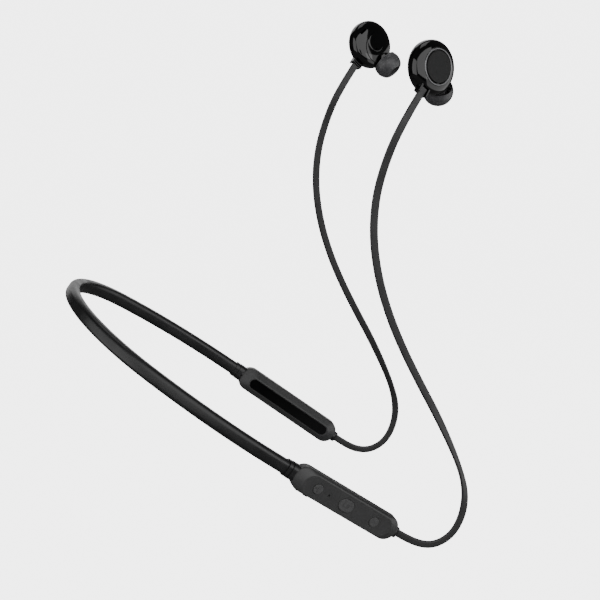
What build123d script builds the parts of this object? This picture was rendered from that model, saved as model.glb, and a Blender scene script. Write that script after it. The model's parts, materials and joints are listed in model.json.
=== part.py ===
from build123d import *
from math import asin, cos, degrees, radians, sin, tan
import os

os.makedirs("parts", exist_ok=True)

# Neckband earphones, as worn: the wearer faces -Y, +X is the wearer's left and +Z is up.
# The origin is the centre of the band where it crosses the nape. Millimetres and degrees.

# ---- Neckband ----
BAND_DIP = 37.9  # the band's plane falls this much from the nape towards the chest
NAPE_RADIUS = 49.2
LEG_RADIUS = 134.6
NAPE_HALF_ANGLE = 67.0  # how far the nape bend turns on each side
TOE_IN = 6.0  # how far the ends point inwards
BAND_HEIGHT, BAND_THICKNESS, BAND_CORNER = 5.8, 4.8, 1.9
WIRE_RADIUS, WIRE_BORE, WIRE_OFFSET = 0.6, 0.66, -1.3
LEADS_RADIUS, LEADS_BORE, LEADS_OFFSET = 0.75, 0.82, 1.2
BAND_INTO_COLLAR = 1.2  # from the pod's end to the sleeve's end, inside the collar

# ---- Pods ----
POD_LENGTH, POD_HEIGHT = 54.8, 10.6
POD_HALF_DEPTH = 4.05
OUTER_SHOULDER, OUTER_FACE = 2.1, (45.6, 9.6)
INNER_SHOULDER, INNER_FACE = 1.7, (45.4, 5.6)
WALL = 1.1
CAVITY = (52.4, 8.6, 1.6)  # length, height, half depth of the wide part
OUTER_POCKET, INNER_POCKET = (44.0, 7.6), (43.0, 5.0)  # the part under each face
INLAY = (44.2, 4.9, 0.5)
END_HOLE_RADIUS = 2.2

# ---- Controls, measured from the pod's middle, + towards the cable ----
UP_X, LIGHT_X, MAIN_X, DOWN_X = -15.8, -10.1, -0.9, 14.2
SMALL_BUTTON_RADIUS = 2.1
MAIN_BUTTON = (7.0, 5.2)
BUTTON_GAP, BUTTON_PROUD, BUTTON_RIM = 0.15, 0.3, 0.5
RIM_BOTTOM, RIM_THICKNESS = 2.4, 0.45
BOARD_BOTTOM, BOARD_THICKNESS = 1.0, 0.6
SWITCH_HEIGHT = 0.45

# ---- Charging port, on the pod's lower edge ----
PORT_X, PORT_Z = -17.6, -0.35
PORT_SIZE, PORT_DEPTH, PORT_WALL = (7.5, 2.5), 5.0, 0.3
FLAP_SIZE, FLAP_THICKNESS, FLAP_SEAT = (9.4, 3.5), 0.9, 0.7
HINGE_X, HINGE_Y, HINGE_RADIUS = -22.3, -5.1, 0.35

# ---- Earbuds: middle of the housing, outward normal, direction of the cable ----
BUDS = {
    "right": ((-38.8, -133.5, 90.6), (-0.887, -0.432, 0.161), (-0.397, 0.539, -0.743), 1),
    "left": ((48.8, -135.3, 89.5), (0.871, 0.400, -0.287), (-0.484, 0.592, -0.644), -1),
}
BUD_RADIUS, BUD_OUTER, BUD_INNER, BUD_RIM = 10.25, 4.7, 4.2, 0.2
BUD_FULLNESS = 3  # 2 would be an ellipse, and more is squarer at the rim
BUD_WALL, BUD_TOP, BUD_FLOOR = 0.9, 4.3, 2.6
SEAT_RADIUS, SEAT_HEIGHT = 7.1, 3.4
CAP_RADIUS, CAP_TOP = 6.0, 4.75
RING_INNER, RING_OUTER, RING_TOP = 6.3, 7.02, 4.53
PLATE_RADIUS, PLATE_X, PLATE_Y, PLATE_PROUD, PLATE_EDGE = 6.6, 0.75, 2.28, 0.3, -1.0
STEM_HEIGHT = 1.7  # the cable enters this far to the outer side of the housing's middle
BOOT_START, BOOT_END, BOOT_WIDTH, BOOT_DEPTH = 7.6, 12.2, 5.0, 3.1
NOZZLE_AT, NOZZLE_AXIS = (3.1, 11.35, -3.75), (0.35, 0.78, -0.52)
NOZZLE_NECK, NOZZLE_LIP, NOZZLE_BORE, NOZZLE_TIP = 2.1, 2.45, 1.5, 1.6
SEAM = 0.04  # clearance between two closed housings
DRIVER_BOTTOM, DRIVER_RADIUS = -2.2, 5.1

# ---- Flat cable, 3.2 x 1.3, as a plain tube of about the same section ----
CABLE_RADIUS = 1.15
CABLE_ROUTE = [  # from the pod's end to the earbud, for the wearer's left
    (48.8, -134.8, -102.2),
    (48.7, -141.0, -101.4),
    (48.6, -146.5, -97.3),
    (48.4, -150.0, -89.5),
    (48.2, -150.7, -80.6),
    (48.1, -148.7, -71.4),
    (47.8, -144.3, -60.0),
    (47.5, -137.6, -45.5),
    (47.3, -130.2, -31.4),
    (47.0, -123.2, -17.2),
    (46.7, -117.3, -3.0),
    (46.4, -112.8, 12.0),
    (46.1, -110.4, 27.7),
    (45.8, -111.0, 43.2),
]
CABLE_LAST = {
    "right": [(46.6, -114.4, 57.2), (48.2, -119.6, 70.8)],
    "left": [(44.9, -114.5, 57.3), (42.6, -119.5, 70.6)],
}
CABLE_START_RUN = 7.9
CABLE_GAP = 0.25  # from the boot's face to the tube's end
GROMMET_FLANGE = 1.1

# ---- Frames worked out from the sizes above ----
BAND = Plane((0, 0, 0), x_dir=(1, 0, 0), z_dir=(0, -sin(radians(BAND_DIP)), cos(radians(BAND_DIP))))
LEG_START = 90 - NAPE_HALF_ANGLE  # the band's slope where the legs begin
END_X = NAPE_RADIUS * cos(radians(LEG_START)) + LEG_RADIUS * (
    cos(radians(TOE_IN)) - cos(radians(LEG_START))
)
END_Y = NAPE_RADIUS * (1 - sin(radians(LEG_START))) + LEG_RADIUS * (
    sin(radians(LEG_START)) + sin(radians(TOE_IN))
)
POD_AXIS = BAND.x_dir * sin(radians(TOE_IN)) - BAND.y_dir * cos(radians(TOE_IN))
POD_OUTWARD = -BAND.x_dir * cos(radians(TOE_IN)) - BAND.y_dir * sin(radians(TOE_IN))
POD_END = BAND.from_local_coords((-END_X, -END_Y, 0)) + POD_AXIS * BAND_INTO_COLLAR
# The right pod's frame: x towards the cable, y up across the pod, z to the outside.
POD = Plane(POD_END + POD_AXIS * (POD_LENGTH / 2), x_dir=POD_AXIS, z_dir=POD_OUTWARD)
COLLAR_END, CABLE_END = -POD_LENGTH / 2, POD_LENGTH / 2


def pod_section(x):
    """The plane across the right pod at x, looking along it: its x is up the pod."""
    return Plane(POD.from_local_coords((x, 0, 0)), x_dir=POD.y_dir, z_dir=POD.x_dir)


def pod_floor(y):
    """The plane along the right pod at height y: its x is along the pod, its y to the inside."""
    return Plane(POD.from_local_coords((0, y, 0)), x_dir=POD.x_dir, z_dir=POD.y_dir)


def save(part, name):
    part.label = name
    export_step(part, f"parts/{name}.step")


def save_sided(builder, side, name):
    """Write a piece drawn for the wearer's right, or its mirror image for the left."""
    part = builder.part if side == "right" else mirror(builder.part, about=Plane.YZ)
    save(part, f"{side}_{name}")


# ---------------------------------------------------------------- neckband


def band_line(lead_in):
    """The band's centreline from the right pod round the nape to the left pod."""
    start_turn = 90 + TOE_IN
    with BuildLine() as line:
        start = Vector(-END_X, -END_Y)
        tangent = Vector(cos(radians(start_turn)), sin(radians(start_turn)))
        if lead_in:
            Line(start - tangent * lead_in, start)
        right_leg = JernArc(start, tangent, LEG_RADIUS, NAPE_HALF_ANGLE - start_turn)
        nape = JernArc(right_leg @ 1, right_leg % 1, NAPE_RADIUS, -2 * NAPE_HALF_ANGLE)
        left_leg = JernArc(nape @ 1, nape % 1, LEG_RADIUS, NAPE_HALF_ANGLE - start_turn)
        if lead_in:
            Line(left_leg @ 1, (left_leg @ 1) + (left_leg % 1) * lead_in)
    return line.wire().moved(BAND.location)


def across(path):
    """The plane across the start of a band line: its x is up the band."""
    return Plane(path @ 0, x_dir=BAND.z_dir, z_dir=path % 0)


band_path = band_line(0)
with BuildPart() as band_sleeve:
    with BuildSketch(across(band_path)):
        RectangleRounded(BAND_HEIGHT, BAND_THICKNESS, BAND_CORNER)
        with Locations((WIRE_OFFSET, 0)):
            Circle(WIRE_BORE, mode=Mode.SUBTRACT)
        with Locations((LEADS_OFFSET, 0)):
            Circle(LEADS_BORE, mode=Mode.SUBTRACT)
    sweep(path=band_path)
save(band_sleeve.part, "band_sleeve")

LEADS_INTO_POD = 3.6
for label, radius, offset_up in (
    ("band_core_wire", WIRE_RADIUS, WIRE_OFFSET),
    ("band_leads", LEADS_RADIUS, LEADS_OFFSET),
):
    lead_path = band_line(LEADS_INTO_POD)
    with BuildPart() as strand:
        with BuildSketch(across(lead_path)):
            with Locations((offset_up, 0)):
                Circle(radius)
        sweep(path=lead_path)
    save(strand.part, label)

# ---------------------------------------------------------------- pods


def pod_half(outer):
    """Half of a pod's outside, a lozenge with a flat face and wide bevels at the ends."""
    outward = POD.z_dir if outer else -POD.z_dir
    half = Plane(POD.origin, x_dir=POD.x_dir, z_dir=outward)
    shoulder, face = (OUTER_SHOULDER, OUTER_FACE) if outer else (INNER_SHOULDER, INNER_FACE)
    pocket = OUTER_POCKET if outer else INNER_POCKET
    with BuildPart() as body:
        with BuildSketch(half):
            SlotOverall(POD_LENGTH, POD_HEIGHT)
        extrude(amount=shoulder)
        with BuildSketch(half.offset(shoulder)):
            SlotOverall(POD_LENGTH, POD_HEIGHT)
        with BuildSketch(half.offset(POD_HALF_DEPTH)):
            SlotOverall(*face)
        loft(ruled=True)
        levels = body.edges().group_by(Axis(POD.origin, outward))
        fillet(levels[-1], 0.6)
        shoulder_edges = body.edges().filter_by(
            lambda e: abs((e.center() - POD.origin).dot(outward) - shoulder) < 0.01
            and abs((e @ 0 - POD.origin).dot(outward) - shoulder) < 0.01
        )
        fillet(shoulder_edges, 0.9)
        with BuildSketch(half):
            SlotOverall(CAVITY[0], CAVITY[1])
        extrude(amount=CAVITY[2], mode=Mode.SUBTRACT)
        with BuildSketch(half):
            SlotOverall(*pocket)
        extrude(amount=POD_HALF_DEPTH - WALL, mode=Mode.SUBTRACT)
        for end in (COLLAR_END, CABLE_END):
            with BuildSketch(pod_section(end)):
                Circle(END_HOLE_RADIUS)
            extrude(amount=3, both=True, mode=Mode.SUBTRACT)
    return body.part


def port_cuts():
    """The port's mouth and the seat of its flap, through the pod's lower edge."""
    lower = -POD_HEIGHT / 2
    with BuildSketch(pod_floor(lower)) as mouth:
        with Locations((PORT_X, -PORT_Z)):
            SlotOverall(PORT_SIZE[0] + 0.4, PORT_SIZE[1] + 0.4)
    extrude(mouth.sketch, amount=2.5, mode=Mode.SUBTRACT)
    with BuildSketch(pod_floor(lower - 0.5)) as seat:
        with Locations((PORT_X, -PORT_Z)):
            SlotOverall(FLAP_SIZE[0] + 0.3, FLAP_SIZE[1] + 0.3)
        with Locations(((HINGE_X - 0.5 + PORT_X) / 2, -PORT_Z)):
            Rectangle(PORT_X - HINGE_X + 0.5, FLAP_SIZE[1] + 0.3)
    extrude(seat.sketch, amount=FLAP_SEAT + 0.5, mode=Mode.SUBTRACT)


def button_outline(x, grow):
    """A control's outline in the pod's face, with the round ones alike."""
    with Locations((x, 0)):
        if x == MAIN_X:
            SlotOverall(MAIN_BUTTON[0] + 2 * grow, MAIN_BUTTON[1] + 2 * grow)
        else:
            Circle(SMALL_BUTTON_RADIUS + grow)


outer_half = pod_half(outer=True)
inner_half = pod_half(outer=False)
for side in ("right", "left"):
    with BuildPart() as outer_shell:
        add(outer_half)
        if side == "right":
            port_cuts()
            with BuildSketch(POD.offset(RIM_BOTTOM)):
                for x in (UP_X, MAIN_X, DOWN_X):
                    button_outline(x, BUTTON_GAP)
                with Locations((LIGHT_X, 0)):
                    Circle(0.45)
            extrude(amount=POD_HALF_DEPTH, mode=Mode.SUBTRACT)
    save_sided(outer_shell, side, "pod_outer_shell")

    with BuildPart() as inner_shell:
        add(inner_half)
        with BuildSketch(POD.offset(-POD_HALF_DEPTH)):
            SlotOverall(INLAY[0], INLAY[1])
        extrude(amount=INLAY[2], mode=Mode.SUBTRACT)
        if side == "right":
            port_cuts()
    save_sided(inner_shell, side, "pod_inner_shell")

    with BuildPart() as inlay:
        with BuildSketch(POD.offset(-POD_HALF_DEPTH)):
            SlotOverall(INLAY[0] - 0.1, INLAY[1] - 0.1)
        extrude(amount=INLAY[2] - 0.02)
        fillet(inlay.edges().group_by(Axis(POD.origin, POD.z_dir))[0], 0.15)
    save_sided(inlay, side, "pod_inlay")

    with BuildPart() as collar:
        for x, length, grow, corner in (
            (COLLAR_END - 3.9, 1.5, 0.9, 2.2),
            (COLLAR_END - 2.4, 0.5, 0.4, 2.0),
            (COLLAR_END - 1.9, 3.4, 1.1, 2.3),
        ):
            with BuildSketch(pod_section(x)):
                RectangleRounded(BAND_HEIGHT + grow, BAND_THICKNESS + grow, corner)
            extrude(amount=length)
        with BuildSketch(POD):
            SlotOverall(POD_LENGTH, POD_HEIGHT)
        extrude(amount=POD_HALF_DEPTH + 1, both=True, mode=Mode.SUBTRACT)
        with BuildSketch(pod_section(COLLAR_END - 1.0)):
            Circle(END_HOLE_RADIUS - 0.03)
        extrude(amount=3.0)
        with BuildSketch(pod_section(COLLAR_END - 4.0)):
            RectangleRounded(BAND_HEIGHT + 0.06, BAND_THICKNESS + 0.06, BAND_CORNER)
        extrude(amount=4.0 - BAND_INTO_COLLAR, mode=Mode.SUBTRACT)
        with BuildSketch(pod_section(COLLAR_END - 4.0)):
            with Locations((WIRE_OFFSET, 0)):
                Circle(WIRE_BORE)
            with Locations((LEADS_OFFSET, 0)):
                Circle(LEADS_BORE)
        extrude(amount=8, mode=Mode.SUBTRACT)
    save_sided(collar, side, "band_collar")

    with BuildPart() as grommet:
        with BuildSketch(pod_section(CABLE_END - 2.2)):
            RectangleRounded(4.6, 3.3, 1.0)
        extrude(amount=2.2 + GROMMET_FLANGE)
        with BuildSketch(POD):
            SlotOverall(POD_LENGTH, POD_HEIGHT)
        extrude(amount=POD_HALF_DEPTH + 1, both=True, mode=Mode.SUBTRACT)
        with BuildSketch(pod_section(CABLE_END - 2.4)):
            Circle(END_HOLE_RADIUS - 0.03)
        extrude(amount=2.5)
        with BuildSketch(pod_section(CABLE_END - 3)):
            SlotOverall(3.3, 1.4)
        extrude(amount=5, mode=Mode.SUBTRACT)
    save_sided(grommet, side, "cable_grommet")

# ---------------------------------------------------------------- inside the right pod

board_top = BOARD_BOTTOM + BOARD_THICKNESS
with BuildPart() as main_board:
    with BuildSketch(POD.offset(BOARD_BOTTOM)):
        SlotOverall(47.0, 6.6)
        with Locations((20.8, 2.0), (20.8, -2.0)):
            Circle(0.5, mode=Mode.SUBTRACT)
    extrude(amount=BOARD_THICKNESS)
save(main_board.part, "main_board")

with BuildPart() as button_switches:
    for x in (UP_X, MAIN_X, DOWN_X):
        with BuildSketch(POD.offset(board_top)):
            with Locations((x, 0)):
                RectangleRounded(3.4, 3.0, 0.4)
        extrude(amount=SWITCH_HEIGHT - 0.15)
        with BuildSketch(POD.offset(board_top)):
            with Locations((x, 0)):
                Circle(0.9)
        extrude(amount=SWITCH_HEIGHT)
save(button_switches.part, "button_switches")

with BuildPart() as usb_receptacle:
    with BuildSketch(pod_floor(-4.45)):
        with Locations((PORT_X, -PORT_Z)):
            SlotOverall(*PORT_SIZE)
            SlotOverall(PORT_SIZE[0] - 2 * PORT_WALL, PORT_SIZE[1] - 2 * PORT_WALL, mode=Mode.SUBTRACT)
    extrude(amount=PORT_DEPTH)
    with BuildSketch(pod_floor(-4.45 + PORT_DEPTH - 0.8)):
        with Locations((PORT_X, -PORT_Z)):
            SlotOverall(*PORT_SIZE)
    extrude(amount=0.8)
    with BuildSketch(pod_floor(-4.45 + 1.2)):
        with Locations((PORT_X, -PORT_Z)):
            Rectangle(5.0, 0.7)
    extrude(amount=PORT_DEPTH - 1.6)
save(usb_receptacle.part, "usb_receptacle")

with BuildPart() as bluetooth_module:
    with BuildSketch(POD.offset(BOARD_BOTTOM - 1.4)):
        with Locations((0.0, 0)):
            Rectangle(12.0, 4.8)
    extrude(amount=1.4)
    chamfer(bluetooth_module.edges().group_by(Axis(POD.origin, POD.z_dir))[0], 0.2)
save(bluetooth_module.part, "bluetooth_module")

with BuildPart() as microphone:
    with BuildSketch(POD.offset(BOARD_BOTTOM - 1.0)):
        with Locations((11.0, 0)):
            RectangleRounded(3.5, 2.6, 0.3)
    extrude(amount=1.0)
save(microphone.part, "microphone")

with BuildPart() as light_pipe:
    with BuildSketch(POD.offset(board_top)):
        with Locations((LIGHT_X, 0)):
            Circle(0.9)
    extrude(amount=1.1)
    with BuildSketch(POD.offset(board_top)):
        with Locations((LIGHT_X, 0)):
            Circle(0.4)
    extrude(amount=POD_HALF_DEPTH - board_top - 0.6)
save(light_pipe.part, "status_light_pipe")

for label, x in (("volume_up_button", UP_X), ("main_button", MAIN_X), ("volume_down_button", DOWN_X)):
    with BuildPart() as button:
        with BuildSketch(POD.offset(RIM_BOTTOM)):
            button_outline(x, BUTTON_RIM)
        extrude(amount=RIM_THICKNESS)
        with BuildSketch(POD.offset(RIM_BOTTOM)):
            button_outline(x, 0)
        extrude(amount=POD_HALF_DEPTH + BUTTON_PROUD - RIM_BOTTOM)
        fillet(button.edges().group_by(Axis(POD.origin, POD.z_dir))[-1], 0.2)
    save(button.part, label)

with BuildPart() as port_flap:
    flap_inside = -POD_HEIGHT / 2 + FLAP_SEAT - 0.05
    with BuildSketch(pod_floor(flap_inside)):
        with Locations((PORT_X, -PORT_Z)):
            SlotOverall(*FLAP_SIZE)
        with Locations(((HINGE_X + PORT_X) / 2, -PORT_Z)):
            Rectangle(PORT_X - HINGE_X, FLAP_SIZE[1])
    extrude(amount=-FLAP_THICKNESS)
    with BuildSketch(pod_floor(flap_inside)):
        with Locations((PORT_X, -PORT_Z)):
            SlotOverall(5.6, 1.3)
    extrude(amount=0.9)
    with BuildSketch(POD.offset(PORT_Z)):
        with Locations((HINGE_X, HINGE_Y)):
            Circle(HINGE_RADIUS)
    extrude(amount=FLAP_SIZE[1] / 2 - 0.1, both=True)
    with BuildSketch(pod_floor(flap_inside - FLAP_THICKNESS + 0.3)):
        with Locations((PORT_X + 0.4, -PORT_Z - FLAP_SIZE[1] / 2 + 0.3)):
            RectangleRounded(2.1, 1.1, 0.3)
    extrude(amount=-0.5)
save(port_flap.part, "port_flap")

# ---------------------------------------------------------------- inside the left pod

with BuildPart() as battery:
    with BuildSketch(POD.offset(-1.5)):
        with Locations((-1.0, 0)):
            RectangleRounded(38.0, 7.8, 1.6)
    extrude(amount=3.0)
    fillet(battery.edges().filter_by(Axis(POD.origin, POD.z_dir), reverse=True), 0.5)
save_sided(battery, "left", "battery_cell")

with BuildPart() as protection_board:
    with BuildSketch(POD.offset(-1.0)):
        with Locations((21.0, 0)):
            RectangleRounded(4.0, 5.4, 0.3)
    extrude(amount=0.8)
save_sided(protection_board, "left", "protection_board")

# ---------------------------------------------------------------- earbuds


def unit(vector):
    return Vector(*vector).normalized()


def bud_frame(side):
    """x along the cable, z to the outside; y leans to the nozzle on the right bud."""
    centre, outward, stem, hand = BUDS[side]
    return Plane(centre, x_dir=stem, z_dir=unit(outward))


def bud_section(frame):
    """The plane through an earbud's axis: its y is along the axis."""
    return Plane(frame.origin, x_dir=-frame.y_dir, z_dir=-frame.x_dir)


def nozzle_frame(frame, hand):
    """The frame whose z runs out along the nozzle from the middle of the ear tip."""
    x, y, z = NOZZLE_AT
    dx, dy, dz = NOZZLE_AXIS
    outwards = frame.x_dir * dx + frame.y_dir * dy * hand + frame.z_dir * dz
    return Plane(frame.from_local_coords((x, y * hand, z)), x_dir=frame.x_dir, z_dir=outwards)


def rim_curve(radius, height, start, end):
    """Points of a quarter of the earbud's outline, a fuller curve than an ellipse."""
    power = 2 / BUD_FULLNESS
    angles = [radians(start + (end - start) * k / 10) for k in range(11)]
    return [(radius * cos(a) ** power, BUD_RIM + height * sin(a) ** power) for a in angles]


def lens(frame, margin, top, mode=Mode.ADD):
    """The earbud's body of revolution, grown by margin and cut flat at top."""
    radius, outer, inner = BUD_RADIUS + margin, BUD_OUTER + margin, BUD_INNER + margin
    cut = degrees(asin(((top - BUD_RIM) / outer) ** (BUD_FULLNESS / 2)))
    with BuildSketch(bud_section(frame)) as half_section:
        with BuildLine():
            upper = Spline(rim_curve(radius, outer, 0, cut), tangents=[(0, 1), (-1, 0.35)])
            lower = Spline(rim_curve(radius, -inner, 0, 86), tangents=[(0, -1), (-1, 0)])
            Polyline(upper @ 1, (0, top), (0, (lower @ 1).Y), lower @ 1)
        make_face()
    revolve(half_section.sketch, axis=Axis(frame.origin, frame.z_dir), mode=mode)


def disc(frame, bottom, top, radius, inner=0.0, mode=Mode.ADD):
    """A disc or ring about a frame's z axis."""
    with BuildSketch(frame.offset(bottom)) as ring:
        Circle(radius)
        if inner:
            Circle(inner, mode=Mode.SUBTRACT)
    extrude(ring.sketch, amount=top - bottom, mode=mode)


def taper(frame, bottom, bottom_radius, top, top_radius, mode=Mode.ADD):
    """A cone between two circles about a frame's z axis."""
    with BuildSketch(frame.offset(bottom)) as lower:
        Circle(bottom_radius)
    with BuildSketch(frame.offset(top)) as upper:
        Circle(top_radius)
    loft([lower.sketch, upper.sketch], ruled=True, mode=mode)


def boot_block(frame, grow, mode=Mode.ADD):
    """The block of the cable boot, sunk in the housing's edge."""
    across_stem = Plane(frame.origin, x_dir=frame.y_dir, z_dir=frame.x_dir).offset(BOOT_START - grow)
    with BuildSketch(across_stem) as block:
        with Locations((0, STEM_HEIGHT)):
            RectangleRounded(BOOT_WIDTH + 2 * grow, BOOT_DEPTH + 2 * grow, 0.5)
    extrude(block.sketch, amount=BOOT_END - BOOT_START + grow, mode=mode)


def ear_tip_profile():
    """Half of the ear tip's section: a core round the nozzle and a mushroom skirt."""
    with BuildLine() as outline:
        Polyline((NOZZLE_LIP + 0.1, 3.1), (NOZZLE_LIP + 0.1, -2.3), (3.15, -2.3), (3.15, 1.9))
        Spline((3.15, 1.9), (4.5, 1.3), (5.15, -0.4), (5.1, -2.9), tangents=[(0.6, 0.5), (-0.15, -1)])
        Line((5.1, -2.9), (5.45, -3.0))
        Spline((5.45, -3.0), (5.8, -0.4), (4.9, 2.2), (3.1, 3.55), tangents=[(0.2, 1), (-1, 0.35)])
        Line((3.1, 3.55), (NOZZLE_LIP + 0.1, 3.1))
    make_face(outline.edges())


for side in ("right", "left"):
    hand = BUDS[side][3]
    bud = bud_frame(side)
    nozzle = nozzle_frame(bud, hand)
    plate_centre = (PLATE_X, PLATE_Y * hand)
    stem = Plane(bud.origin, x_dir=bud.y_dir, z_dir=bud.x_dir)

    with BuildPart() as rear_housing:
        lens(bud, 0, BUD_TOP)
        lens(bud, -BUD_WALL, BUD_FLOOR, mode=Mode.SUBTRACT)
        disc(bud, SEAT_HEIGHT, BUD_TOP + 1, SEAT_RADIUS, mode=Mode.SUBTRACT)
        with BuildSketch(bud.offset(PLATE_EDGE)):
            with Locations(plate_centre):
                Circle(PLATE_RADIUS + SEAM)
        extrude(amount=-6, mode=Mode.SUBTRACT)
        taper(nozzle, -5.2, 3.7 + SEAM, -2.0, 2.8 + SEAM, mode=Mode.SUBTRACT)
        boot_block(bud, SEAM, mode=Mode.SUBTRACT)
        with BuildSketch(bud.offset(PLATE_EDGE)):
            with Locations(Location((0.3, -7.5 * hand), -12 * hand)):
                SlotOverall(3.7, 0.9)
        extrude(amount=-6, mode=Mode.SUBTRACT)
    save(rear_housing.part, f"{side}_rear_housing")

    with BuildPart() as front_housing:
        lens(bud, PLATE_PROUD, BUD_TOP)
        with BuildSketch(bud.offset(PLATE_EDGE)):
            with Locations(plate_centre):
                Circle(PLATE_RADIUS)
        extrude(amount=-8, mode=Mode.INTERSECT)
        disc(bud, DRIVER_BOTTOM - 0.7, BUD_FLOOR, DRIVER_RADIUS + 0.2, mode=Mode.SUBTRACT)
        taper(nozzle, -4.6, 3.53, -3.0, 3.08)
        disc(nozzle, -3.2, NOZZLE_TIP, NOZZLE_NECK)
        taper(nozzle, -0.2, NOZZLE_LIP, 1.2, NOZZLE_NECK)
        disc(nozzle, -7, NOZZLE_TIP + 1, NOZZLE_BORE, mode=Mode.SUBTRACT)
        with BuildSketch(bud):
            with Locations((2.2, 1.7 * hand)):
                Circle(0.35)
        extrude(amount=-8, mode=Mode.SUBTRACT)
    save(front_housing.part, f"{side}_front_housing")

    with BuildPart() as trim_ring:
        disc(bud, SEAT_HEIGHT, RING_TOP, RING_OUTER, RING_INNER)
        fillet(trim_ring.edges().group_by(Axis(bud.origin, bud.z_dir))[-1], 0.25)
    save(trim_ring.part, f"{side}_trim_ring")

    with BuildPart() as cap:
        disc(bud, SEAT_HEIGHT, CAP_TOP, CAP_RADIUS)
        fillet(cap.edges().group_by(Axis(bud.origin, bud.z_dir))[-1], 0.35)
    save(cap.part, f"{side}_cap")

    with BuildPart() as holding_magnet:
        disc(bud, BUD_FLOOR - 1.1, BUD_FLOOR - 0.02, 3.5)
    save(holding_magnet.part, f"{side}_holding_magnet")

    with BuildPart() as driver_frame:
        disc(bud, DRIVER_BOTTOM, DRIVER_BOTTOM + 2.0, DRIVER_RADIUS, DRIVER_RADIUS - 0.5)
        disc(bud, DRIVER_BOTTOM + 1.6, DRIVER_BOTTOM + 2.0, DRIVER_RADIUS - 0.4, 2.5)
    save(driver_frame.part, f"{side}_driver_frame")

    with BuildPart() as driver_magnet:
        disc(bud, DRIVER_BOTTOM + 0.7, DRIVER_BOTTOM + 2.3, 2.45)
    save(driver_magnet.part, f"{side}_driver_magnet")

    with BuildPart() as diaphragm:
        disc(bud, DRIVER_BOTTOM + 0.1, DRIVER_BOTTOM + 0.25, DRIVER_RADIUS - 0.55)
    save(diaphragm.part, f"{side}_diaphragm")

    with BuildPart() as nozzle_mesh:
        disc(nozzle, NOZZLE_TIP - 0.5, NOZZLE_TIP - 0.15, NOZZLE_BORE - 0.02)
    save(nozzle_mesh.part, f"{side}_nozzle_mesh")

    with BuildPart() as cable_boot:
        boot_block(bud, 0)
        fillet(cable_boot.edges().group_by(Axis(bud.origin, bud.x_dir))[-1], 0.25)
        with BuildSketch(stem.offset(BOOT_START + 1.2)):
            with Locations((0, STEM_HEIGHT + 0.9)):
                Rectangle(3.3, 3.2)
        extrude(amount=BOOT_END, mode=Mode.SUBTRACT)
    save(cable_boot.part, f"{side}_cable_boot")

    with BuildPart() as ear_tip:
        with BuildSketch(Plane(nozzle.origin, x_dir=nozzle.x_dir, z_dir=-nozzle.y_dir)):
            ear_tip_profile()
        revolve(axis=Axis(nozzle.origin, nozzle.z_dir), revolution_arc=360)
    save(ear_tip.part, f"{side}_ear_tip")

    # The cable, from the grommet's face to the boot's face.
    flip = -1 if side == "right" else 1
    exit_point = POD.from_local_coords((CABLE_END + GROMMET_FLANGE, 0, 0))
    second = exit_point + POD.x_dir * CABLE_START_RUN
    first_two = [Vector(-flip * p.X, p.Y, p.Z) for p in (exit_point, second)]
    route = [Vector(flip * x, y, z) for x, y, z in CABLE_ROUTE + CABLE_LAST[side]]
    points = first_two + route + [bud.from_local_coords((BOOT_END + CABLE_GAP, 0, STEM_HEIGHT))]
    runs = [b - a for a, b in zip(points, points[1:])]
    turns = [a.get_angle(b) for a, b in zip(runs, runs[1:])]
    shorter = [min(a.length, b.length) for a, b in zip(runs, runs[1:])]
    radii = [0.45 * run / tan(radians(turn / 2)) for run, turn in zip(shorter, turns)]
    with BuildPart() as cable:
        with BuildLine() as cable_line:
            FilletPolyline(points, radius=radii)
        cable_path = cable_line.wire()
        with BuildSketch(Plane(cable_path @ 0, z_dir=cable_path % 0)):
            Circle(CABLE_RADIUS)
        sweep(path=cable_path)
    save(cable.part, f"{side}_cable")
    print(side, "cable length", round(cable_path.length, 1), "radii", [round(r, 1) for r in radii])
    section_volume = 3.14159 * CABLE_RADIUS**2 * cable_path.length
    print("volume / section x length", round(cable.part.volume / section_volume, 4))
    print("route", [(round(p.X, 1), round(p.Y, 1), round(p.Z, 1)) for p in points])
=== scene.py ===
import json
import math

import bmesh
import bpy
from mathutils import Matrix, Vector


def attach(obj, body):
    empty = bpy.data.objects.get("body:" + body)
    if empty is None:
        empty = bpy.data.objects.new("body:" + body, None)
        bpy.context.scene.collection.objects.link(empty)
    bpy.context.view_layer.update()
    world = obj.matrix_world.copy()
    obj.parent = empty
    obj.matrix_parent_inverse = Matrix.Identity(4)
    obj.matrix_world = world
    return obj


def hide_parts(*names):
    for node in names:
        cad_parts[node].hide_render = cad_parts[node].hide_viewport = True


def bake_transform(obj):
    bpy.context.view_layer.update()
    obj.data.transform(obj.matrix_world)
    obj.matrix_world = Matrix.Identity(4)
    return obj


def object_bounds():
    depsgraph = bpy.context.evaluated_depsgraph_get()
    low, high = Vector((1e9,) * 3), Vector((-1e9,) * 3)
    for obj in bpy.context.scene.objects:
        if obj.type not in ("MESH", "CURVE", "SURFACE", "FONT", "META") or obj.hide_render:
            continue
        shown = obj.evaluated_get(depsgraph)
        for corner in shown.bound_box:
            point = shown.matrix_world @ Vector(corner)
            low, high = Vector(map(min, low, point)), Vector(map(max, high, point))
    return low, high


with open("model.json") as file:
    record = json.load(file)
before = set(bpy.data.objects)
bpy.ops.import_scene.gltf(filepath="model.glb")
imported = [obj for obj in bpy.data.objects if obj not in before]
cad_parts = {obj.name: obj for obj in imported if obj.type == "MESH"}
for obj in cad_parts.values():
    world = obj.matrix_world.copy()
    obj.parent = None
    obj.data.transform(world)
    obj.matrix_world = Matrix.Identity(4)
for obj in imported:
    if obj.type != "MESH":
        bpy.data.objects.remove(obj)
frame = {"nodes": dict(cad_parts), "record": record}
START_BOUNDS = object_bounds()

# Neckband earphones, in metres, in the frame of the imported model: the wearer faces -Y, +X is the
# wearer's left, +Z is up, and the origin is the middle of the band at the nape.

SIDES = {"right": -1, "left": 1}

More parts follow.
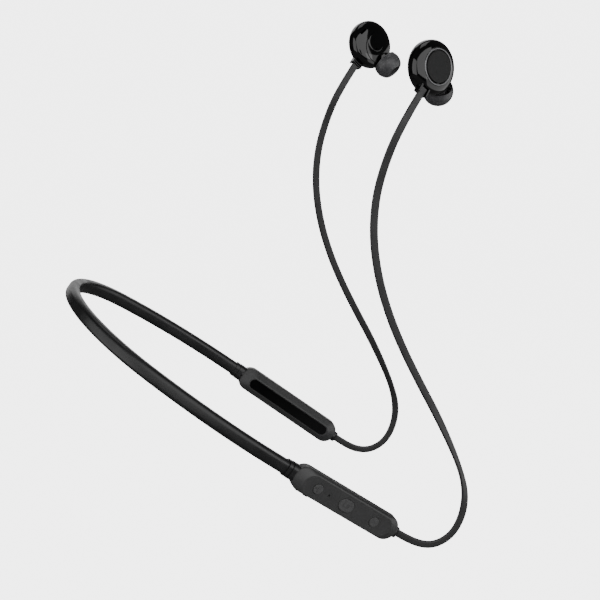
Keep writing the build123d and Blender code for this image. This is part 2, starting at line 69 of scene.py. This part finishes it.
# ---- Camera ----
CAMERA_AT = (-0.50208, 0.02315, 0.15290)
CAMERA_RIGHT = (-0.22489, -0.97438, 0.00009)
CAMERA_UP = (0.29203, -0.06731, 0.95404)
CAMERA_LENS, SENSOR_WIDTH = 78, 36  # millimetres
CLIP_START, CLIP_END = 0.01, 20

# ---- Lights: place, size and power of each soft box, all aimed at one point ----
LIGHT_TARGET = (0, -0.08, 0)
LIGHTS = {
    "key_light": ((-1.5, -0.45, 0.65), (3.0, 2.0), 32),
    "side_light": ((-0.5, 1.4, 0.25), (1.9, 1.6), 15),
    "low_light": ((-0.3, -1.0, -0.35), (1.5, 1.3), 7),
    "top_light": ((0.35, -0.2, 1.5), (0.9, 0.9), 3),
    "back_light": ((1.5, -0.2, 0.4), (1.8, 1.4), 9),
}
FLOOR_GLOW, WORLD_LIGHT = 4.5, 0.05

# ---- Floor, which runs up into a wall ----
FLOOR_DROP = 0.5  # below the object
FLOOR_REACH, FLOOR_HALF_WIDTH, FLOOR_BEND, WALL_TOP = 2.6, 3.5, 0.8, 3.0
FLOOR_STEPS = 12  # round the bend

# ---- Neckband ----
BAND_DIP = math.radians(37.9)
NAPE_RADIUS, LEG_RADIUS = 0.0492, 0.1346
NAPE_HALF_ANGLE, TOE_IN = math.radians(67), math.radians(6)
NAPE_LENGTH, LEG_TURN = NAPE_RADIUS * NAPE_HALF_ANGLE, math.pi / 2 - NAPE_HALF_ANGLE + TOE_IN
BAND_LENGTH = NAPE_LENGTH + LEG_RADIUS * LEG_TURN
BAND_DOWN = Vector((0, -math.cos(BAND_DIP), -math.sin(BAND_DIP)))  # forwards and down, in the band's plane
BAND_UP = Vector((0, -math.sin(BAND_DIP), math.cos(BAND_DIP)))  # straight out of that plane
BAND_HEIGHT, BAND_THICKNESS, BAND_CORNER = 0.0058, 0.0048, 0.0019
WIRE_RADIUS, WIRE_OFFSET = 0.0006, -0.0013
LEADS_RADIUS, LEADS_OFFSET = 0.00075, 0.0012
LEADS_INTO_POD = 0.0036
STRAND_STEP = 0.0015  # between two rings of a strand
STRAND_SIDES = 16
BAND_FREE = 0.1  # how far the band bends freely, from the nape to shortly before a collar

# ---- Controls on the right pod: places along it from its middle, towards the cable ----
POD_MIDDLE = 0.0286  # from the band's end to the pod's middle
BUTTON_TOP = 0.00435  # from the pod's middle plane outwards
VOLUME_UP_AT, MAIN_AT, VOLUME_DOWN_AT = -0.0158, -0.0009, 0.0142
MARK_SIZE, MARK_STROKE, MARK_HEIGHT = 0.0022, 0.00036, 0.00016
PLAY_LEFT, PLAY_RIGHT, PLAY_HALF_HEIGHT = -1.3, 0.1, 0.8  # in halves of MARK_SIZE
PAUSE_AT, PAUSE_HEIGHT = (0.28, 0.55), 0.8  # in MARK_SIZE

# ---- Earbuds: outward normal, and direction of the cable ----
BUD_OUTWARD = {"right": (-0.887, -0.432, 0.161), "left": (0.871, 0.400, -0.287)}
BUD_STEM = {"right": (-0.397, 0.539, -0.743), "left": (-0.484, 0.592, -0.644)}

# ---- Flat cables, from the pod's end up to the earbud ----
CABLE_WIDTH, CABLE_THICKNESS = 0.0032, 0.0013
CABLE_CORNER = CABLE_THICKNESS * 0.49
CABLE_IN_GROMMET, CABLE_IN_BOOT = 0.0012, 0.0030
# The route's control points for the wearer's left; up to CABLE_LAST the right cable mirrors them.
# The first two and the last follow from the pod and the earbud. The others come from a curve fit,
# rounded to 0.1 mm and changed a little near the earbuds: they were not chosen by hand.
CABLE_ROUTE = [
    (0.0493, -0.1211, -0.0942),
    (0.0485, -0.1273, -0.0991),
    (0.0488, -0.1348, -0.1022),
    (0.0487, -0.1410, -0.1014),
    (0.0486, -0.1465, -0.0973),
    (0.0484, -0.1500, -0.0895),
    (0.0482, -0.1507, -0.0806),
    (0.0481, -0.1487, -0.0714),
    (0.0478, -0.1443, -0.0600),
    (0.0475, -0.1376, -0.0455),
    (0.0473, -0.1302, -0.0314),
    (0.0470, -0.1232, -0.0172),
    (0.0467, -0.1173, -0.0030),
    (0.0464, -0.1128, 0.0120),
    (0.0461, -0.1104, 0.0277),
    (0.0458, -0.1110, 0.0432),
]
CABLE_LAST = {
    "right": [(0.0466, -0.1144, 0.0572), (0.0482, -0.1196, 0.0708), (0.0453, -0.1275, 0.0816)],
    "left": [(0.0449, -0.1145, 0.0573), (0.0426, -0.1195, 0.0706), (0.0443, -0.1272, 0.0810)],
}
# How the flat cable turns on its way: (share of its length, turn in degrees).
CABLE_TURNS = [(0.0, 0), (0.17, 0), (0.26, 50), (0.42, 8), (0.6, 0), (0.86, 0)]


# ---------------------------------------------------------------- camera, lights and stage


def add_camera():
    """The camera stands on the wearer's right and a little above."""
    data = bpy.data.cameras.new("camera")
    data.lens = CAMERA_LENS
    data.sensor_width = SENSOR_WIDTH
    data.clip_start, data.clip_end = CLIP_START, CLIP_END
    camera = bpy.data.objects.new("camera", data)
    right, up = Vector(CAMERA_RIGHT), Vector(CAMERA_UP)
    turn = Matrix((right, up, right.cross(up))).transposed().to_4x4()
    camera.matrix_world = Matrix.Translation(CAMERA_AT) @ turn
    bpy.context.scene.collection.objects.link(camera)
    bpy.context.scene.camera = camera


def add_softbox(name, place, size, power):
    """A soft rectangular light that faces the object."""
    data = bpy.data.lights.new(name, "AREA")
    data.shape = "RECTANGLE"
    data.size, data.size_y = size
    data.energy = power
    light = bpy.data.objects.new(name, data)
    light.location = place
    light.rotation_mode = "QUATERNION"
    light.rotation_quaternion = (Vector(LIGHT_TARGET) - Vector(place)).to_track_quat("-Z", "Y")
    bpy.context.scene.collection.objects.link(light)


def add_lights():
    """Every soft box of the studio."""
    for name, (place, size, power) in LIGHTS.items():
        add_softbox(name, place, size, power)


def add_world():
    """A dim, even surround that is as pale as the floor where it is seen."""
    world = bpy.data.worlds.new("studio")
    world.use_nodes = True
    nodes, links = world.node_tree.nodes, world.node_tree.links
    surround = nodes["Background"]
    surround.inputs["Color"].default_value = (1, 1, 1, 1)
    strength = nodes.new("ShaderNodeMapRange")
    strength.inputs["To Min"].default_value = WORLD_LIGHT
    strength.inputs["To Max"].default_value = FLOOR_GLOW
    links.new(nodes.new("ShaderNodeLightPath").outputs["Is Camera Ray"], strength.inputs["Value"])
    links.new(strength.outputs["Result"], surround.inputs["Strength"])
    bpy.context.scene.world = world


def add_stage(pale):
    """A pale floor that runs up into a wall behind the object."""
    floor, bend_start = START_BOUNDS[0].z - FLOOR_DROP, FLOOR_REACH - FLOOR_BEND
    outline = [(-FLOOR_REACH, floor), (bend_start, floor)]
    for step in range(1, FLOOR_STEPS + 1):
        angle = math.radians(90 * step / FLOOR_STEPS)
        rise = FLOOR_BEND * (1 - math.cos(angle))
        outline.append((bend_start + FLOOR_BEND * math.sin(angle), floor + rise))
    outline.append((FLOOR_REACH, WALL_TOP))
    sweep = bmesh.new()
    for x, z in outline:
        sweep.verts.new((x, -FLOOR_HALF_WIDTH, z))
        sweep.verts.new((x, FLOOR_HALF_WIDTH, z))
    sweep.verts.ensure_lookup_table()
    for k in range(len(outline) - 1):
        a, b, c, d = (sweep.verts[i] for i in (2 * k, 2 * k + 2, 2 * k + 3, 2 * k + 1))
        sweep.faces.new((a, b, c, d)).smooth = True
    mesh = bpy.data.meshes.new("floor")
    sweep.to_mesh(mesh)
    sweep.free()
    mesh.materials.append(pale)
    stage = bpy.data.objects.new("floor", mesh)
    bpy.context.scene.collection.objects.link(stage)


# ---------------------------------------------------------------- materials


class Surface:
    """A procedural material: a shader with unevenness in colour, in sheen and in relief."""

    def __init__(self, name, colour, roughness, metallic=0.0):
        self.material = bpy.data.materials.new(name)
        self.material.use_nodes = True
        self.tree = self.material.node_tree
        self.shader = self.tree.nodes["Principled BSDF"]
        self.colour = (*colour, 1)
        self.roughness = roughness
        self.shader.inputs["Base Color"].default_value = self.colour
        self.shader.inputs["Roughness"].default_value = roughness
        self.shader.inputs["Metallic"].default_value = metallic
        self.material.diffuse_color = self.colour
        self.where = self.node("TexCoord").outputs["Object"]
        self.relief = None

    def node(self, kind, **values):
        """A new node of that kind, with its settings."""
        made = self.tree.nodes.new("ShaderNode" + kind)
        for name, value in values.items():
            setattr(made, name, value)
        return made

    def set(self, **values):
        """Constant values on the shader, such as Coat_Weight=1."""
        for name, value in values.items():
            self.shader.inputs[name.replace("_", " ")].default_value = value
        return self

    def noise(self, scale, detail=3.0, rough=0.55):
        """Smooth unevenness with features of about 1 / scale metres."""
        noise = self.node("TexNoise")
        noise.inputs["Scale"].default_value = scale
        noise.inputs["Detail"].default_value = detail
        noise.inputs["Roughness"].default_value = rough
        self.tree.links.new(self.where, noise.inputs["Vector"])
        return noise.outputs["Fac"]

    def cells(self, scale, feature="F1"):
        """Small round cells of about 1 / scale metres."""
        cells = self.node("TexVoronoi", feature=feature)
        cells.inputs["Scale"].default_value = scale
        self.tree.links.new(self.where, cells.inputs["Vector"])
        return cells.outputs["Distance"]

    def ramp(self, source, low, high, start=0.3, end=0.7):
        """Turns a pattern into values or colours between low and high."""
        spread = self.node("MapRange")
        spread.inputs["From Min"].default_value = start
        spread.inputs["From Max"].default_value = end
        spread.inputs["To Min"].default_value = low
        spread.inputs["To Max"].default_value = high
        self.tree.links.new(source, spread.inputs["Value"])
        return spread.outputs["Result"]

    def mottle(self, source, amount, start=0.3, end=0.7):
        """Lets the colour wander lighter and darker with a pattern."""
        mix = self.node("Mix", data_type="RGBA")
        mix.inputs["A"].default_value = tuple(c * (1 - amount) for c in self.colour[:3]) + (1,)
        mix.inputs["B"].default_value = tuple(min(1, c * (1 + amount)) for c in self.colour[:3]) + (1,)
        self.tree.links.new(self.ramp(source, 0, 1, start, end), mix.inputs["Factor"])
        self.tree.links.new(mix.outputs["Result"], self.shader.inputs["Base Color"])
        return self

    def smudge(self, source, amount):
        """Lets the sheen wander with a pattern, as handling and moulding leave it."""
        low, high = max(0.02, self.roughness - amount), min(1, self.roughness + amount)
        self.tree.links.new(self.ramp(source, low, high), self.shader.inputs["Roughness"])
        return self

    def emboss(self, source, depth, strength=1.0):
        """Adds a relief of that depth, in metres, on top of the ones before."""
        bump = self.node("Bump")
        bump.inputs["Distance"].default_value = depth
        bump.inputs["Strength"].default_value = strength
        self.tree.links.new(source, bump.inputs["Height"])
        if self.relief:
            self.tree.links.new(self.relief, bump.inputs["Normal"])
        self.relief = bump.outputs["Normal"]
        self.tree.links.new(self.relief, self.shader.inputs["Normal"])
        return self


def band_rubber():
    """Soft-touch rubber with an even, very fine matt grain."""
    rubber = Surface("band_rubber", (0.008, 0.008, 0.0085), 0.36)
    rubber.mottle(rubber.noise(70), 0.16)
    rubber.smudge(rubber.noise(160, 5), 0.07)
    rubber.emboss(rubber.noise(5200, 2), 0.00002, 0.5)
    return rubber


def cable_rubber():
    """Matt elastomer, a little chalky, with a fine drawn grain."""
    rubber = Surface("cable_rubber", (0.018, 0.018, 0.0185), 0.48)
    rubber.mottle(rubber.noise(120), 0.22)
    rubber.smudge(rubber.noise(300, 5), 0.08)
    rubber.emboss(rubber.noise(4200, 3), 0.00003, 0.6)
    return rubber


def strain_rubber():
    """Dark rubber of the collars and grommets."""
    rubber = Surface("strain_rubber", (0.008, 0.008, 0.0085), 0.34)
    rubber.mottle(rubber.noise(400), 0.2)
    rubber.emboss(rubber.noise(5200, 2), 0.00002, 0.4)
    return rubber


def pod_satin():
    """Moulded plastic with a spark-eroded texture."""
    plastic = Surface("pod_satin", (0.031, 0.031, 0.0315), 0.45)
    plastic.mottle(plastic.noise(180), 0.12)
    plastic.smudge(plastic.noise(420, 5), 0.06)
    plastic.emboss(plastic.cells(4200), 0.00003, 0.35)
    plastic.emboss(plastic.noise(9000, 2), 0.00002, 0.4)
    return plastic


def button_rubber():
    """Slightly paler rubber of the buttons."""
    rubber = Surface("button_rubber", (0.052, 0.052, 0.053), 0.5)
    rubber.mottle(rubber.noise(700), 0.15)
    rubber.smudge(rubber.noise(900, 4), 0.06)
    rubber.emboss(rubber.noise(7000, 2), 0.00002, 0.5)
    return rubber


def flap_rubber():
    """Soft rubber of the cover over the charging port."""
    rubber = Surface("flap_rubber", (0.016, 0.016, 0.0165), 0.48)
    rubber.mottle(rubber.noise(600), 0.18)
    rubber.emboss(rubber.noise(5000, 3), 0.00003, 0.5)
    return rubber


def gloss_black(name="gloss_black"):
    """Polished piano black with hairline marks from wiping."""
    gloss = Surface(name, (0.0016, 0.0016, 0.0018), 0.07)
    gloss.set(Coat_Weight=0.25, Coat_Roughness=0.03)
    gloss.smudge(gloss.noise(90, 6, 0.7), 0.035)
    gloss.mottle(gloss.noise(200), 0.3)
    gloss.emboss(gloss.noise(350, 2), 0.00001, 0.15)
    return gloss


def cap_matte():
    """Fine matt face that looks the same from every side."""
    plastic = Surface("cap_matte", (0.006, 0.006, 0.0062), 0.55)
    plastic.set(Specular_IOR_Level=0.3)
    plastic.mottle(plastic.noise(500), 0.12)
    plastic.smudge(plastic.noise(800, 4), 0.05)
    plastic.emboss(plastic.cells(6000), 0.00002, 0.4)
    return plastic


def ring_metal():
    """Dark anodised ring, turned on a lathe."""
    metal = Surface("ring_metal", (0.17, 0.17, 0.175), 0.2, metallic=0.9)
    metal.mottle(metal.noise(900), 0.2)
    metal.smudge(metal.noise(2500, 3), 0.08)
    metal.emboss(metal.noise(6000, 2), 0.00001, 0.4)
    return metal


def tip_silicone():
    """Soft smoky silicone that lets a little light through."""
    silicone = Surface("tip_silicone", (0.055, 0.055, 0.058), 0.38)
    silicone.set(Subsurface_Weight=0.35, Subsurface_Radius=(1, 1, 1), Subsurface_Scale=0.002)
    silicone.mottle(silicone.noise(260), 0.14)
    silicone.smudge(silicone.noise(500, 5), 0.08)
    silicone.emboss(silicone.noise(3800, 2), 0.00002, 0.35)
    return silicone


def steel(name, colour, roughness, grain):
    """Bare or plated metal with a drawn grain."""
    metal = Surface(name, colour, roughness, metallic=1.0)
    metal.mottle(metal.noise(500), 0.12)
    metal.smudge(metal.noise(grain, 4), 0.08)
    metal.emboss(metal.noise(grain * 3, 2), 0.00001, 0.4)
    return metal


def circuit_board():
    """Green solder mask over copper tracks."""
    board = Surface("circuit_board", (0.012, 0.085, 0.035), 0.3)
    tracks = board.cells(1400, "DISTANCE_TO_EDGE")
    board.mottle(tracks, 0.45, 0.02, 0.12)
    board.emboss(tracks, 0.00003, 0.5)
    board.smudge(board.noise(900, 3), 0.08)
    return board


def moulding(name, colour, roughness, depth=0.00002):
    """Plain moulded plastic for inner parts."""
    plastic = Surface(name, colour, roughness)
    plastic.mottle(plastic.noise(500), 0.14)
    plastic.smudge(plastic.noise(900, 4), 0.07)
    plastic.emboss(plastic.noise(4500, 3), depth, 0.5)
    return plastic


def battery_wrap():
    """Foil pouch, lightly creased."""
    foil = Surface("battery_wrap", (0.30, 0.32, 0.35), 0.3, metallic=0.7)
    foil.mottle(foil.noise(300), 0.12)
    foil.emboss(foil.noise(450, 5, 0.7), 0.0002, 0.35)
    foil.smudge(foil.noise(1200, 4), 0.1)
    return foil


def light_pipe():
    """Smoked plastic, dark while the light is off."""
    smoked = Surface("light_pipe", (0.05, 0.052, 0.056), 0.12)
    smoked.set(Transmission_Weight=0.3, IOR=1.5)
    smoked.smudge(smoked.noise(2500, 3), 0.05)
    smoked.emboss(smoked.noise(3000, 2), 0.00001, 0.3)
    return smoked


def woven_steel():
    """Fine woven mesh: bright wires with dark openings between them; the dark is painted shade, and the
    openings also sink in relief.
    """
    mesh = Surface("steel_mesh", (0.32, 0.32, 0.33), 0.34, metallic=0.9)
    pores_and_painted_shade = mesh.cells(5200)
    # Painted shade: the openings of the weave are coloured darker than the wires; the same cells also give
    # the relief below.
    mesh.mottle(pores_and_painted_shade, 0.8, 0.2, 0.6)
    mesh.emboss(pores_and_painted_shade, 0.00008, 0.8)
    return mesh


def pale_floor():
    """Pale paper that is lit up where it is seen, and throws no light of its own on the object."""
    floor = Surface("pale_floor", (0.12, 0.12, 0.12), 0.8)
    floor.mottle(floor.noise(6, 4), 0.01)
    floor.set(Emission_Color=(1, 1, 1, 1))
    seen = floor.node("LightPath").outputs["Is Camera Ray"]
    floor.tree.links.new(floor.ramp(seen, 0, FLOOR_GLOW, 0, 1), floor.shader.inputs["Emission Strength"])
    return floor


def make_materials():
    """Every finish by the name of its slot in the record."""
    return {
        "band_rubber": band_rubber(),
        "spring_steel": steel("spring_steel", (0.55, 0.55, 0.56), 0.28, 1500),
        "lead_insulation": moulding("lead_insulation", (0.30, 0.03, 0.03), 0.4),
        "pod_satin": pod_satin(),
        "gloss_black": gloss_black(),
        "strain_rubber": strain_rubber(),
        "circuit_board": circuit_board(),
        "switch_plastic": moulding("switch_plastic", (0.55, 0.54, 0.50), 0.42),
        "port_steel": steel("port_steel", (0.60, 0.60, 0.61), 0.3, 1800),
        "shield_steel": steel("shield_steel", (0.50, 0.50, 0.50), 0.36, 1400),
        "light_pipe": light_pipe(),
        "button_rubber": button_rubber(),
        "flap_rubber": flap_rubber(),
        "battery_wrap": battery_wrap(),
        "bud_gloss": gloss_black("bud_gloss"),
        "ring_metal": ring_metal(),
        "cap_matte": cap_matte(),
        "magnet_nickel": steel("magnet_nickel", (0.62, 0.62, 0.60), 0.14, 700),
        "driver_plastic": moulding("driver_plastic", (0.06, 0.06, 0.065), 0.45),
        "diaphragm_film": moulding("diaphragm_film", (0.45, 0.43, 0.38), 0.2, 0.00005),
        "steel_mesh": woven_steel(),
        "tip_silicone": tip_silicone(),
        "cable_rubber": cable_rubber(),
    }


def dress_nodes(materials):
    """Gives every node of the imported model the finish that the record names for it."""
    for part in frame["record"]["subparts"]:
        node = frame["nodes"][part["node"]]
        node.data.materials.clear()
        node.data.materials.append(materials[part["material_slot"]].material)


# ---------------------------------------------------------------- meshes


def mesh_object(name, rings, capped=(True, True)):
    """A closed tube through rings of points; each end is a flat face where it is capped."""
    made = bmesh.new()
    loops = [[made.verts.new(p) for p in ring] for ring in rings]
    count = len(loops[0])
    for near, far in zip(loops, loops[1:]):
        for k in range(count):
            j = (k + 1) % count
            made.faces.new((near[k], near[j], far[j], far[k])).smooth = True
    for wanted, loop in ((capped[0], loops[0][::-1]), (capped[1], loops[-1])):
        if wanted:
            cap = made.faces.new(loop)
            for edge in cap.edges:
                edge.smooth = False
    bmesh.ops.recalc_face_normals(made, faces=made.faces)
    mesh = bpy.data.meshes.new(name)
    made.to_mesh(mesh)
    made.free()
    piece = bpy.data.objects.new(name, mesh)
    bpy.context.scene.collection.objects.link(piece)
    return piece


def finish_piece(piece, materials, slot):
    """Gives a piece the material of that slot."""
    piece.data.materials.append(materials[slot].material)
    return piece


def circle(radius, middle=(0, 0)):
    """Points round a circle, as (up, out) pairs across a tube."""
    turns = [2 * math.pi * k / STRAND_SIDES for k in range(STRAND_SIDES)]
    return [(middle[0] + radius * math.cos(t), middle[1] + radius * math.sin(t)) for t in turns]


def rounded_rectangle(width, height, corner, steps=8):
    """Points round a rectangle whose corners are quarter circles."""
    points = []
    for quarter, (sx, sy) in enumerate(((1, 1), (-1, 1), (-1, -1), (1, -1))):
        cx, cy = sx * (width / 2 - corner), sy * (height / 2 - corner)
        for k in range(steps + 1):
            angle = math.pi / 2 * (quarter + k / steps)
            points.append((cx + corner * math.cos(angle), cy + corner * math.sin(angle)))
    return points


# ---------------------------------------------------------------- neckband


def band_place(side, along):
    """A place on the band's centreline and its direction, that far from the nape."""
    across = Vector((SIDES[side], 0, 0))
    turn = min(along / NAPE_RADIUS, NAPE_HALF_ANGLE)
    out, forward = NAPE_RADIUS * math.sin(turn), NAPE_RADIUS * (1 - math.cos(turn))
    if along > NAPE_LENGTH:
        bend = min((along - NAPE_LENGTH) / LEG_RADIUS, LEG_TURN)
        out += LEG_RADIUS * (math.sin(turn + bend) - math.sin(turn))
        forward += LEG_RADIUS * (math.cos(turn) - math.cos(turn + bend))
        turn += bend
    heading = across * math.cos(turn) + BAND_DOWN * math.sin(turn)
    straight = along - NAPE_LENGTH - LEG_RADIUS * LEG_TURN
    if straight > 0:
        return across * out + BAND_DOWN * forward + heading * straight, heading
    return across * out + BAND_DOWN * forward, heading


def band_strand(name, side, outline, extra):
    """Half of the band's sleeve or of a strand in it, from the nape to its end at a pod."""
    length = BAND_LENGTH + extra
    count = round(length / STRAND_STEP)
    rings = []
    for k in range(count + 1):
        place, heading = band_place(side, length * k / count)
        outwards = heading.cross(BAND_UP)
        rings.append([place + BAND_UP * a + outwards * b for a, b in outline])
    return mesh_object(name, rings, capped=(False, True))


def add_band(materials):
    """The sleeve, its core wire and its leads, each in two halves that meet at the nape."""
    sleeve = rounded_rectangle(BAND_HEIGHT, BAND_THICKNESS, BAND_CORNER)
    wire = circle(WIRE_RADIUS, middle=(WIRE_OFFSET, 0))
    leads = circle(LEADS_RADIUS, middle=(LEADS_OFFSET, 0))
    strands = [
        ("band_sleeve", sleeve, 0, "band_rubber"),
        ("band_core_wire", wire, LEADS_INTO_POD, "spring_steel"),
        ("band_leads", leads, LEADS_INTO_POD, "lead_insulation"),
    ]
    for side in SIDES:
        free_end, _ = band_place(side, BAND_FREE)
        for node, outline, extra, slot in strands:
            half = finish_piece(band_strand(f"{node}_{side}_half", side, outline, extra), materials, slot)
            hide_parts(node)
            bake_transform(half)


# ---------------------------------------------------------------- marks on the buttons


def bar(length, middle=(0, 0), upright=False):
    """The corners of a thin bar round its middle."""
    long, thin = length / 2, MARK_STROKE / 2
    x, y = (thin, long) if upright else (long, thin)
    return [(middle[0] + a * x, middle[1] + b * y) for a, b in ((1, 1), (-1, 1), (-1, -1), (1, -1))]


def plus():
    """The corners of two bars that cross."""
    long, thin = MARK_SIZE / 2, MARK_STROKE / 2
    corners = []
    for cos, sin in ((1, 0), (0, 1), (-1, 0), (0, -1)):
        for x, y in ((long, -thin), (long, thin), (thin, thin)):
            corners.append((x * cos - y * sin, x * sin + y * cos))
    return corners


def triangle():
    """The corners of a play sign, which points towards the cable."""
    half = MARK_SIZE / 2
    left, high = half * PLAY_LEFT, half * PLAY_HALF_HEIGHT
    return [(left, high), (left, -high), (half * PLAY_RIGHT, 0)]


def add_marks(materials):
    """Raised signs: plus and minus for the volume, play and pause on the main button."""
    end, along = band_place("right", BAND_LENGTH)
    outwards = along.cross(BAND_UP)
    near, far = (bar(MARK_SIZE * PAUSE_HEIGHT, (MARK_SIZE * x, 0), upright=True) for x in PAUSE_AT)
    marks = [
        ("volume_up_mark", "volume_up", VOLUME_UP_AT, plus()),
        ("volume_down_mark", "volume_down", VOLUME_DOWN_AT, bar(MARK_SIZE)),
        ("play_mark", "main_control", MAIN_AT, triangle()),
        ("pause_mark_near", "main_control", MAIN_AT, near),
        ("pause_mark_far", "main_control", MAIN_AT, far),
    ]
    for name, body, at, outline in marks:
        middle = end + along * (POD_MIDDLE + at) + outwards * BUTTON_TOP
        rings = []
        for height in (-MARK_HEIGHT, MARK_HEIGHT):
            rings.append([middle + outwards * height + along * x + BAND_UP * y for x, y in outline])
        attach(finish_piece(mesh_object(name, rings), materials, "button_rubber"), body)


# ---------------------------------------------------------------- cables


def route_points(side):
    """The control points of one side's cable, from the pod to the earbud."""
    return [Vector((SIDES[side] * x, y, z)) for x, y, z in CABLE_ROUTE + CABLE_LAST[side]]


def smooth_line(points):
    """The points of the NURBS line that has these control points."""
    curve = bpy.data.curves.new("line", "CURVE")
    curve.dimensions = "3D"
    curve.resolution_u = 10
    spline = curve.splines.new("NURBS")
    spline.points.add(len(points) - 1)
    for target, point in zip(spline.points, points):
        target.co = (*point, 1)
    spline.order_u = 3
    spline.use_endpoint_u = True
    holder = bpy.data.objects.new("line", curve)
    mesh = bpy.data.meshes.new_from_object(holder)
    line = [vertex.co.copy() for vertex in mesh.vertices]
    bpy.data.objects.remove(holder)
    bpy.data.meshes.remove(mesh)
    return line


def shares_of(line):
    """How far along the line each of its points is, from 0 to 1."""
    lengths = [0.0]
    for before, after in zip(line, line[1:]):
        lengths.append(lengths[-1] + (after - before).length)
    return [length / lengths[-1] for length in lengths]


def turn_at(share, turns):
    """The cable's turn at a share of its length, eased between the places where it is given."""
    for (start, before), (end, after) in zip(turns, turns[1:]):
        if share <= end:
            t = max(0, (share - start) / (end - start))
            return before + (after - before) * t * t * (3 - 2 * t)
    return turns[-1][1]


def section_axes(heading, turn):
    """The flat cable's wide and thin directions where it runs along heading."""
    sideways = Vector((1, 0, 0))
    sideways = (sideways - heading * sideways.dot(heading)).normalized()
    upright = heading.cross(sideways)
    wide = upright * math.cos(turn) + sideways * math.sin(turn)
    return wide, heading.cross(wide)


def turn_of(direction, heading):
    """The turn at which the cable's wide direction is nearest to a given direction."""
    upright, thin = section_axes(heading, 0)
    turn = math.atan2(-direction.dot(thin), direction.dot(upright))
    return (turn + math.pi / 2) % math.pi - math.pi / 2


def add_cable(side, materials):
    """A flat cable that leaves the pod upright, turns over in its loop and ends flat in the boot."""
    line = smooth_line(route_points(side))
    starts, ends = (line[0] - line[1]).normalized(), (line[-1] - line[-2]).normalized()
    line = [line[0] + starts * CABLE_IN_GROMMET, *line, line[-1] + ends * CABLE_IN_BOOT]
    across_boot = Vector(BUD_OUTWARD[side]).cross(Vector(BUD_STEM[side])).normalized()
    turns = [(share, math.radians(turn) * SIDES[side]) for share, turn in CABLE_TURNS]
    turns.append((1.0, turn_of(across_boot, ends)))
    outline = rounded_rectangle(CABLE_WIDTH, CABLE_THICKNESS, CABLE_CORNER, 6)
    rings = []
    for k, (place, share) in enumerate(zip(line, shares_of(line))):
        heading = (line[min(k + 1, len(line) - 1)] - line[max(k - 1, 0)]).normalized()
        wide, thin = section_axes(heading, turn_at(share, turns))
        rings.append([place + wide * a + thin * b for a, b in outline])
    cable = finish_piece(mesh_object(f"{side}_flat_cable", rings), materials, "cable_rubber")
    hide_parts(f"{side}_cable")
    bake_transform(cable)


# ---------------------------------------------------------------- scene

add_camera()
finishes = make_materials()
dress_nodes(finishes)
for cable_side in SIDES:
    add_cable(cable_side, finishes)
add_band(finishes)
add_marks(finishes)
add_lights()
add_world()
add_stage(pale_floor().material)
